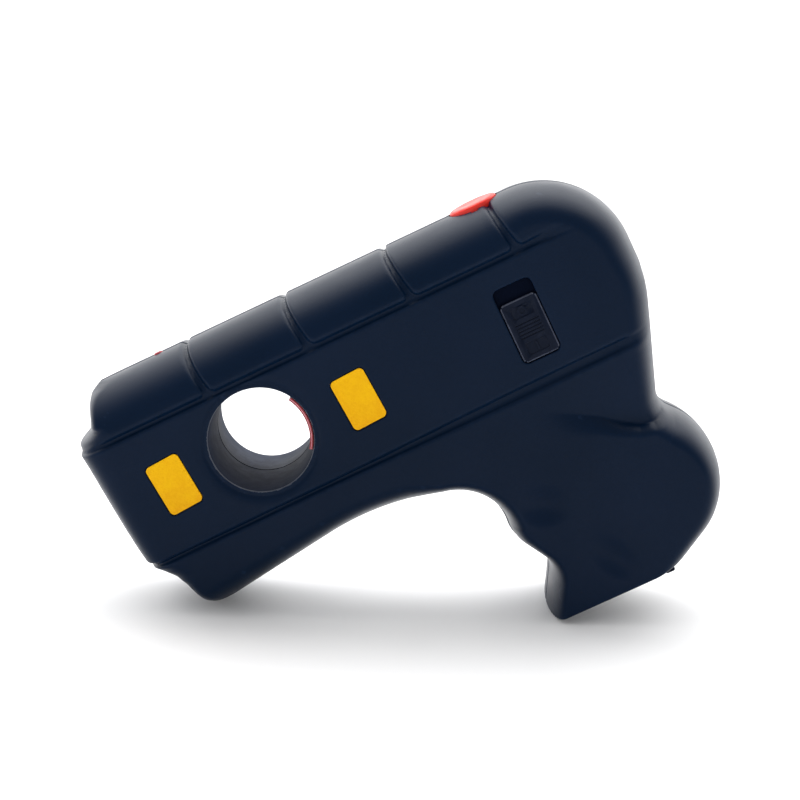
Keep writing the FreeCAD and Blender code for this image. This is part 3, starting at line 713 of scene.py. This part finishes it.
AMBER = amber_material()
RED = gloss_material("red_button", rgb(238, 44, 30), rgb(228, 36, 22), 0.4)
RED_CLEAR = gloss_material("red_clear", rgb(150, 10, 30), rgb(132, 8, 25), 0.25)
# Pale red for a line on the red strip's edge: a painted highlight.
STRIP_HIGHLIGHT = gloss_material("painted_strip_highlight", rgb(226, 150, 160), rgb(216, 130, 142), 0.3)
SMOKED = gloss_material("smoked_window", rgb(16, 17, 20), rgb(20, 22, 25), 0.1, 0.15)
SCREEN = gloss_material("screen", rgb(120, 132, 118), rgb(112, 124, 110), 0.3)
WIRE_BLACK = gloss_material("wire_black", rgb(22, 22, 23), rgb(28, 28, 30), 0.5)
WIRE_RED = gloss_material("wire_red", rgb(170, 22, 20), rgb(150, 16, 14), 0.5)
STEEL = metal_material("plated_steel", rgb(190, 190, 194), 0.28)
TIN = metal_material("tinned_sheet", rgb(200, 200, 198), 0.32, (6.0, 1.0, 1.0))
COPPER = metal_material("bare_copper", rgb(200, 120, 72), 0.3)
BOARD = board_material()
CELL = cell_material()

BY_SLOT = {
    "housing": HOUSING, "amber": AMBER, "red": RED, "red_clear": RED_CLEAR, "switch_black": SWITCH,
    "smoked": SMOKED, "board_green": BOARD, "chip_black": PART_BLACK, "copper": COPPER, "tin": TIN,
    "steel": STEEL, "screen": SCREEN, "cell_skin": CELL, "tray_black": TRAY,
    "cable_black": WIRE_BLACK, "cable_red": WIRE_RED,
}
SLOT_OF = {part["node"]: part["material_slot"] for part in record["subparts"]}
for name, obj in nodes.items():
    for index in range(max(1, len(obj.material_slots))):
        if not obj.material_slots:
            obj.data.materials.append(None)
        obj.material_slots[index].material = BY_SLOT[SLOT_OF[name]]

# ---- where the parts sit ------------------------------------------------------------------------
CASE_SCREWS = [(-41, 26), (-36.5, -31), (27, -29.5), (111, 24), (69.8, -92.6), (115, -62)]
POST_R = 3.4            # of a screw post on the left, and on the right where it holds the head
POST_HEAD_R = 4.4
PIN_BOSS_R = 3.2        # of the bosses that hold the trigger's pin
PIN_BOSS_Y = 5.6        # how far from the seam they start
PIN_HOLE_R = 1.5
WELL_U = (75.6, 107.8)  # ends of the opening under the cells
WELL_HALF = 15.2        # and half its width
PAD_DEPTH = 3.9         # of the solid stretch over the base, for the cover's tongues
STRIP_R = (16.2, 17.25)     # inner and outer radius of the red strip
STRIP_ANGLES = (-36.6, 29.6)
STRIP_POCKET_R = 17.36
BUTTON_WELL_R = 8.7
LENS_HOLE_R = 1.95
MARKER = (12.7, 18.9, 1.9)  # width, height and corner radius of a marker's pocket
MARKER_DEPTH = 0.9
MARKER_LEAN = {"marker_front_left": 4.0, "marker_rear_left": 3.0}

cap_lo, cap_hi = node_box("power_slider")
trigger_lo = node_box("trigger")[0]
window_lo, window_hi = node_box("display_window")
cap_u, _, cap_w = (cap_lo + cap_hi) / 2
cap_width, _, cap_height = cap_hi - cap_lo
cap_y = cap_lo[1]
cap_travel = joints["power_slide"]["range_m"][1] / MM
button_u = sum(node_box("hold_button"))[0] / 2
button_top = node_box("hold_button")[1][2]
lens_u = sum(node_box("front_indicator_lens"))[0] / 2
pin_u, _, pin_w = sum(node_box("trigger_pin")) / 2


def cover_block(gap):
    """Plate and side tongues of the battery cover, grown by a gap and open to the rear."""
    floor = box(72 - gap, 150, -17 - gap, 17 + gap, BASE_W - 5, BASE_W + 1.7 + gap)
    tongue = box(72 - gap, 149, -18.2 - gap, 18.2 + gap, BASE_W + 0.7 - gap, BASE_W + 1.69 + gap)
    return join(floor, tongue)


def trigger_block(gap):
    """Upright opening across the grip's front, with room for the swing where there is a gap."""
    room = gap > 0
    low, high = trigger_lo[2] - 0.9 * room, trigger_lo[2] + 16.0 + 0.4 * room
    return plate(0, (low + high) / 2, 15.4 + 2 * gap, high - low, 1.6, [(50, 0), (66, 0)], axis="u")


def window_block(gap):
    """Opening for the display's window in the rear of the dome, grown by a gap."""
    height = window_hi[2] - window_lo[2] + 2 * gap
    middle = (window_hi[2] + window_lo[2]) / 2
    return plate(0, middle, 21.0 + 2 * gap, height, 2.5, [(125, 0), (145, 0)], axis="u")


def bore_tool():
    """Tapered hole through both halves, with broken rims."""
    slope = (BORE_FACE_R - BORE_SEAM_R) / HALF_T
    rim_y = HALF_T - DISH[0]
    rim_r = BORE_SEAM_R + slope * rim_y
    rows = [(rim_y - 0.45, BORE_SEAM_R + slope * (rim_y - 0.45)), (rim_y - 0.1, rim_r + 0.12),
            (rim_y + 0.35, rim_r + 0.4), (30.0, rim_r + 0.4)]
    far = [(-y, r) for y, r in rows[::-1]]
    return turned([*far, (0.0, BORE_SEAM_R), *rows], "y", (0, 0, 0), 160)


def pocket(u, w, width, height, r, floor_y, lean=0.0, rim=0.22):
    """Straight pocket from the left side to a floor, with a chamfered rim."""
    levels = [(floor_y, 0.0), (-HALF_T + rim, 0.0), (-HALF_T - 0.02, rim), (-32.0, rim)]
    return plate(u, w, width, height, r, levels, lean)


# ---- shells -------------------------------------------------------------------------------------
def along_y(y0, y1, r, u, w, segments=32):
    """Straight pin of one radius parallel to the bore."""
    return turned([(y0, r), (y1, r)], "y", (u, 0, w), segments)


def inner_works():
    """Bore sleeve, screw posts, pin bosses, the switch's bed and the pad over the base."""
    sleeve = along_y(-25.5, 25.5, BORE_SEAM_R + WALL, 0, 0, 96)
    posts = [turned([(-25.0, POST_R), (0.0, POST_R), (0.0, POST_HEAD_R), (25.0, POST_HEAD_R)],
                    "y", (u, 0, w), 32) for u, w in CASE_SCREWS]
    bosses = [along_y(PIN_BOSS_Y, 25.0, PIN_BOSS_R, pin_u, pin_w),
              along_y(-25.0, -PIN_BOSS_Y, PIN_BOSS_R, pin_u, pin_w)]
    bed = box(cap_u - 9, cap_u + 9, -25, -22, cap_w - 13, cap_w + 18)
    pad = box(60, 125, -25, 25, BASE_W, BASE_W + PAD_DEPTH)
    pad = cut(pad, box(*WELL_U, -WELL_HALF - 1, WELL_HALF + 1, BASE_W + WALL, 0))
    return join(sleeve, *posts, *bosses, bed, pad)


def marker_pocket(name, side):
    """Pocket for a marker, on the side asked for."""
    u, _, w = sum(node_box(name)) / 2
    width, height, r = MARKER
    left = pocket(u, w, width, height, r, -HALF_T + MARKER_DEPTH, MARKER_LEAN[name])
    if side == "left":
        return left
    right = mirrored(left)
    drop(left)
    return right


def shared_openings(side):
    """Everything cut from both halves."""
    parting_groove = along_y(-0.45, 0.45, BORE_SEAM_R + 0.9, 0, 0, 120)
    markers = [marker_pocket(name, side) for name in MARKER_LEAN]
    button_well = turned([(28.0, BUTTON_WELL_R), (36.4, BUTTON_WELL_R), (36.7, BUTTON_WELL_R + 0.25),
                          (45.0, BUTTON_WELL_R + 0.25)], "w", (button_u, 0, 0))
    lens_hole = turned([(28.0, LENS_HOLE_R), (45.0, LENS_HOLE_R)], "w", (lens_u, 0, 0), 48)
    well = box(*WELL_U, -WELL_HALF, WELL_HALF, BASE_W - 5, BASE_W + 5)
    return [bore_tool(), parting_groove, *markers, button_well, lens_hole, trigger_block(0.3),
            window_block(0.15), well, cover_block(0.2), along_y(-12.0, 12.0, PIN_HOLE_R, pin_u, pin_w)]


def left_openings():
    """The slider's recess and slot, the strip's pocket, the button's key and the screws' pilots."""
    top = cap_w + cap_height / 2 + cap_travel + 0.9
    low = cap_lo[2] - 0.35
    recess = pocket(cap_u, (top + low) / 2, cap_width + 0.7, top - low, 2.2, -HALF_T + 1.8, rim=0.3)
    slot = box(cap_u - 2.2, cap_u + 2.2, -30, -15, cap_w - 2.2, cap_w + 2.2 + cap_travel)
    strip_pocket = sector(BORE_SEAM_R - 1, STRIP_POCKET_R, STRIP_ANGLES[0] - 0.6, STRIP_ANGLES[1] + 0.6,
                          -24.1, -0.9)
    key = box(button_u - 1.4, button_u + 1.0, -10.2, -7.8, 33.0, 45.0)
    pilots = [along_y(-12.5, 1.0, 1.45, u, w, 24) for u, w in CASE_SCREWS]
    return [recess, slot, strip_pocket, key, *pilots]


def screw_holes():
    """Clearance and counterbores for the case screws, from the right side."""
    profile = [(-1.0, 1.7), (12.0, 1.7), (12.0, 3.0), (45.0, 3.0)]
    return [turned(profile, "y", (u, 0, w), 40) for u, w in CASE_SCREWS]


def past_seam(side):
    """All that lies past the seam plane, as seen from one half."""
    y0, y1 = (-SEAM, 60) if side == "left" else (-60, SEAM)
    return box(-100, 200, y0, y1, -150, 100)


def shell(skin, hollow, side):
    """One half of the housing, with its works and openings."""
    works = keep(inner_works(), copied(skin))
    half = join(cut(skin, hollow), works)
    own = left_openings() if side == "left" else screw_holes()
    return cut(half, *shared_openings(side), *own, past_seam(side))


def face_data(obj):
    """Centres and normals of an object's faces."""
    mesh = obj.data
    centre, normal = np.empty(len(mesh.polygons) * 3), np.empty(len(mesh.polygons) * 3)
    mesh.polygons.foreach_get("center", centre)
    mesh.polygons.foreach_get("normal", normal)
    return centre.reshape(-1, 3), normal.reshape(-1, 3)


def mark(obj, *masks):
    """Material slot 1, 2... for the faces under each mask, slot 0 elsewhere."""
    picks = np.zeros(len(obj.data.polygons), np.int32)
    for index, mask in enumerate(masks, start=1):
        picks[mask] = index
    obj.data.materials.clear()
    obj.data.polygons.foreach_set("material_index", picks)
    return obj


SHELL_MATERIALS = [HOUSING, BORE_LIT_COPY, BLACK_AND_SHADE, RIM_HIGHLIGHT]
SHELL_SHARP = 54.0      # edges that turn more than this stay sharp, in degrees
PIECE_SHARP = 35.0


def mark_shell(obj):
    """Slots of SHELL_MATERIALS: bore wall (painted light), switch recess with the parting faces (painted
    shade), the bore's rim (painted highlight).
    """
    centre, normal = face_data(obj)
    u, y, w = centre.T
    radius = np.hypot(u, w)
    inward = -(u * normal[:, 0] + w * normal[:, 2]) / np.maximum(radius, 1e-6)
    # The rim's chamfer faces take a painted highlight.
    rim = (radius > 17.3) & (radius < 18.5) & (inward > 0.25) & (inward <= 0.97) & (np.abs(y) > 24.3)
    # The parting faces take near black: a painted shade line along the seam.
    parting = np.abs(y) < 0.5
    # The bore wall takes the lighter copy of the housing plastic: painted light.
    wall = (radius < 18.0) & (inward > 0.8) & ~rim & ~parting
    # The recess round the cap takes near black: painted shade.
    recess = ((np.abs(u - cap_u) < 8) & (w > cap_lo[2] - 0.8) & (w < cap_w + 17.5)
              & (y > -HALF_T + 0.5) & (y < -HALF_T + 1.9))
    return mark(obj, wall, recess | parting, rim)


def inset_form(depth):
    """Both halves' plain form in one solid, a depth inside the skin (outside it if negative)."""
    form = skin_object("form", rough_field, rough_corner, ROUGH_STEP, level=-depth)
    return join(mirrored(form), form)


field, corner = housing_field(STEP, (-27.0, 2.0))
left_skin = skin_object("skin", field, corner, STEP)
rough_field, rough_corner = housing_field(ROUGH_STEP, (-27.0, 3.0), plain=True)
cavity = skin_object("cavity", rough_field, rough_corner, ROUGH_STEP, level=-WALL)
right_skin = mirrored(left_skin)
right_cavity = mirrored(cavity)
whole = join(copied(left_skin), copied(right_skin))

for side, skin, hollow in (("left", left_skin, cavity), ("right", right_skin, right_cavity)):
    half = mark_shell(shell(skin, hollow, side))
    finish_mesh(half, side + "_shell_moulding", "housing", SHELL_SHARP, SHELL_MATERIALS)
    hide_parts(side + "_shell")


# ---- pieces set into the housing ----------------------------------------------------------------
def body_of(name):
    return next(body for body, members in record["behaviour"]["bodies"].items() if name in members)


def replace(obj, name, piece, *materials):
    """Finish a piece that stands in for a CAD node."""
    finish_mesh(obj, piece, body_of(name), PIECE_SHARP, materials)
    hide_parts(name)


def cad_copy(name):
    """Copy of a CAD node's mesh in the gun's frame, closed."""
    obj = copied(nodes[name])
    obj.data.transform(TO_GUN @ nodes[name].matrix_world)
    obj.matrix_world = Matrix.Identity(4)
    bm = bmesh.new()
    bm.from_mesh(obj.data)
    bmesh.ops.remove_doubles(bm, verts=bm.verts, dist=0.002)
    bmesh.ops.triangulate(bm, faces=bm.faces)
    bm.to_mesh(obj.data)
    bm.free()
    return obj


def make_window():
    """Display window, flush with the rear of the dome."""
    pane = cut(keep(copied(whole), window_block(0.0)), inset_form(2.0))
    replace(pane, "display_window", "display_window_lens", SMOKED)


def make_cover():
    """Battery cover with five grip grooves across it and a lip at the heel."""
    cover = keep(copied(whole), cover_block(0.0))
    grooves = [along_y(-9.0, 9.0, 0.55, u, BASE_W - 0.12, 20) for u in (84.0, 86.2, 88.4, 90.6, 92.8)]
    lip_levels = [(-19.2, -0.4), (-18.6, 0.0), (18.6, 0.0), (19.2, -0.4)]
    lip = plate(103.8, BASE_W - 0.8, 3.4, 2.8, 0.8, lip_levels)
    replace(join(cut(cover, *grooves), lip), "battery_cover", "battery_cover_moulding", BLACK_AND_SHADE)


def make_trigger():
    """Finger pad that carries on the grip's skin, over the CAD trigger's works."""
    pad = cut(keep(inset_form(-0.3), trigger_block(0.0)), inset_form(1.8))
    works = keep(cad_copy("trigger"), inset_form(0.5))
    replace(join(pad, works), "trigger", "trigger_moulding", HOUSING)


def make_slider():
    """Switch cap: fine grooves, two shallow recesses with a bar and a ring, and a lighter rim that paints
    the highlight its edges catch.
    """
    reach = 6.2             # from the cap's middle to a recess's
    grooves = [plate(cap_u, cap_w + k * 1.15, 8.2, 0.55, 0.25, [(cap_y + 0.3, -0.1), (cap_y - 1, 0.25)])
               for k in range(-2, 3)]
    recesses = [plate(cap_u, cap_w + way * reach, 7.6, 4.4, 1.2, [(cap_y + 0.25, -0.2), (cap_y - 1, 0.2)])
                for way in (-1, 1)]
    cap = plate(cap_u, cap_w, cap_width, cap_height, 1.6,
                [(-24.2, -0.1), (cap_y + 0.35, 0.0), (cap_y, -0.45)])
    cap = cut(cap, *grooves, *recesses)
    bar = plate(cap_u, cap_w - reach, 0.75, 2.9, 0.3, [(-24.4, 0.0), (cap_y + 0.05, 0.0), (cap_y, -0.1)])
    ring_at = (cap_u, cap_y, cap_w + reach)
    ring = cut(turned([(0.0, 1.6), (0.35, 1.6), (0.4, 1.5)], "y", ring_at, 40),
               turned([(-1.0, 0.95), (1.0, 0.95)], "y", ring_at, 40))
    stem = keep(cad_copy("power_slider"), box(cap_u - 20, cap_u + 20, -24.5, 0, -60, 60))
    slider = join(join(cap, bar, ring), stem)
    centre, normal = face_data(slider)
    # The cap's rim faces take a pale plastic: a painted highlight on the edges that catch the light.
    at_edge = np.abs(centre[:, 0] - cap_u) > cap_width / 2 - 0.5
    at_edge |= np.abs(centre[:, 2] - cap_w) > cap_height / 2 - 0.5
    lighter_edges = at_edge & (centre[:, 1] < cap_y + 0.36) & (normal[:, 1] > -0.97) & (normal[:, 1] < -0.3)
    replace(mark(slider, lighter_edges), "power_slider", "power_slider_cap", SWITCH, EDGE_HIGHLIGHT)


def make_button():
    """Red button: rolled edge and a slightly dished top, over the CAD button's stem."""
    head = [(33.6 - button_top, 8.4), (-0.9, 8.4), (-0.5, 8.28), (-0.2, 7.95), (-0.05, 7.4), (0.0, 6.6),
            (0.0, 5.2), (-0.12, 3.4), (-0.2, 0.02)]
    head = turned(head, "w", (button_u, 0, button_top), 96)
    stem = keep(cad_copy("hold_button"), box(60, 130, -20, 20, 0, 34.0))
    replace(join(head, stem), "hold_button", "hold_button_cap", RED)


def make_strip():
    """Red strip in the bore's wall, with two fine grooves and a pale line on its left edge, a painted
    highlight.
    """
    strip = sector(*STRIP_R, *STRIP_ANGLES, -24.3, -1.2, 40)
    for groove_r in (16.55, 16.9):
        strip = cut(strip, sector(groove_r - 0.06, groove_r + 0.06, -40, 34, -25.0, -24.15, 40))
    # The pale line on the strip's end face is a painted highlight.
    centre, _ = face_data(strip)
    radius = np.hypot(centre[:, 0], centre[:, 2])
    line = (radius > 16.6) & (radius < 16.85) & (centre[:, 1] < -24.2)
    replace(mark(strip, line), "bore_window", "bore_window_strip", RED_CLEAR, STRIP_HIGHLIGHT)


make_trigger()
make_window()
make_cover()
make_slider()
make_button()
make_strip()
drop(whole)


# ---- stage --------------------------------------------------------------------------------------
def paper_floor(reach=90.0):
    corners = [(-reach, -reach, 0), (reach, -reach, 0), (reach, reach, 0), (-reach, reach, 0)]
    floor = mesh_object("floor", corners, [(0, 1, 2, 3)])
    paper = Shader("paper")
    paper.set(Base_Color=(0.93, 0.93, 0.935, 1.0), Specular_IOR_Level=0.3,
              Roughness=paper.ramp(paper.noise(40.0, 3.0), 0.3, 0.7, 0.55, 0.65))
    floor.data.materials.append(paper.material)


def soft_box(name, place, target, size, energy):
    data = bpy.data.lights.new(name, "AREA")
    data.shape = "RECTANGLE"
    data.size, data.size_y = size
    data.energy = energy
    light = bpy.data.objects.new(name, data)
    light.location = place
    light.rotation_mode = "QUATERNION"
    light.rotation_quaternion = (Vector(target) - Vector(place)).to_track_quat("-Z", "Y")
    scene.collection.objects.link(light)


def bright_room(dim, bright):
    """White surroundings, dim in front of the object and bright behind it."""
    world = bpy.data.worlds.new("room")
    scene.world = world
    world.use_nodes = True
    tree = world.node_tree
    tree.nodes.clear()
    coords = tree.nodes.new("ShaderNodeTexCoord")
    split = tree.nodes.new("ShaderNodeSeparateXYZ")
    tree.links.new(coords.outputs["Generated"], split.inputs["Vector"])
    strength = tree.nodes.new("ShaderNodeMapRange")
    tree.links.new(split.outputs["Y"], strength.inputs["Value"])
    for key, value in (("From Min", -0.3), ("From Max", 0.5), ("To Min", dim), ("To Max", bright)):
        strength.inputs[key].default_value = value
    background = tree.nodes.new("ShaderNodeBackground")
    background.inputs["Color"].default_value = (1.0, 1.0, 1.0, 1.0)
    tree.links.new(strength.outputs["Result"], background.inputs["Strength"])
    out = tree.nodes.new("ShaderNodeOutputWorld")
    tree.links.new(background.outputs["Background"], out.inputs["Surface"])


paper_floor()
soft_box("top_box", (0.05, 0.45, 1.0), (0.0, 0.05, 0.05), (1.6, 0.9), 8.0)
bright_room(0.62, 2.5)

# ---- camera -------------------------------------------------------------------------------------
SEEN_SLOPE = 25.4       # slope of the barrel in the picture, degrees
LOOK_DOWN = 12.4        # how far the camera tips down, degrees
CAMERA_AT = (0.0458, -0.6175, 0.1438)   # from the bore's centre, in the camera's rolled frame
camera_data = bpy.data.cameras.new("camera")
camera_data.sensor_width = 36.0
camera_data.lens = 83.4
camera = bpy.data.objects.new("camera", camera_data)
roll = Matrix.Rotation(math.radians(SEEN_SLOPE) - math.atan2(U.z, U.x), 4, "Y")
tip = Matrix.Rotation(math.radians(90 - LOOK_DOWN), 4, "X")
camera.matrix_world = Matrix.Translation(ORIGIN) @ roll @ Matrix.Translation(CAMERA_AT) @ tip
scene.collection.objects.link(camera)
scene.camera = camera
scene.view_settings.view_transform = "Standard"
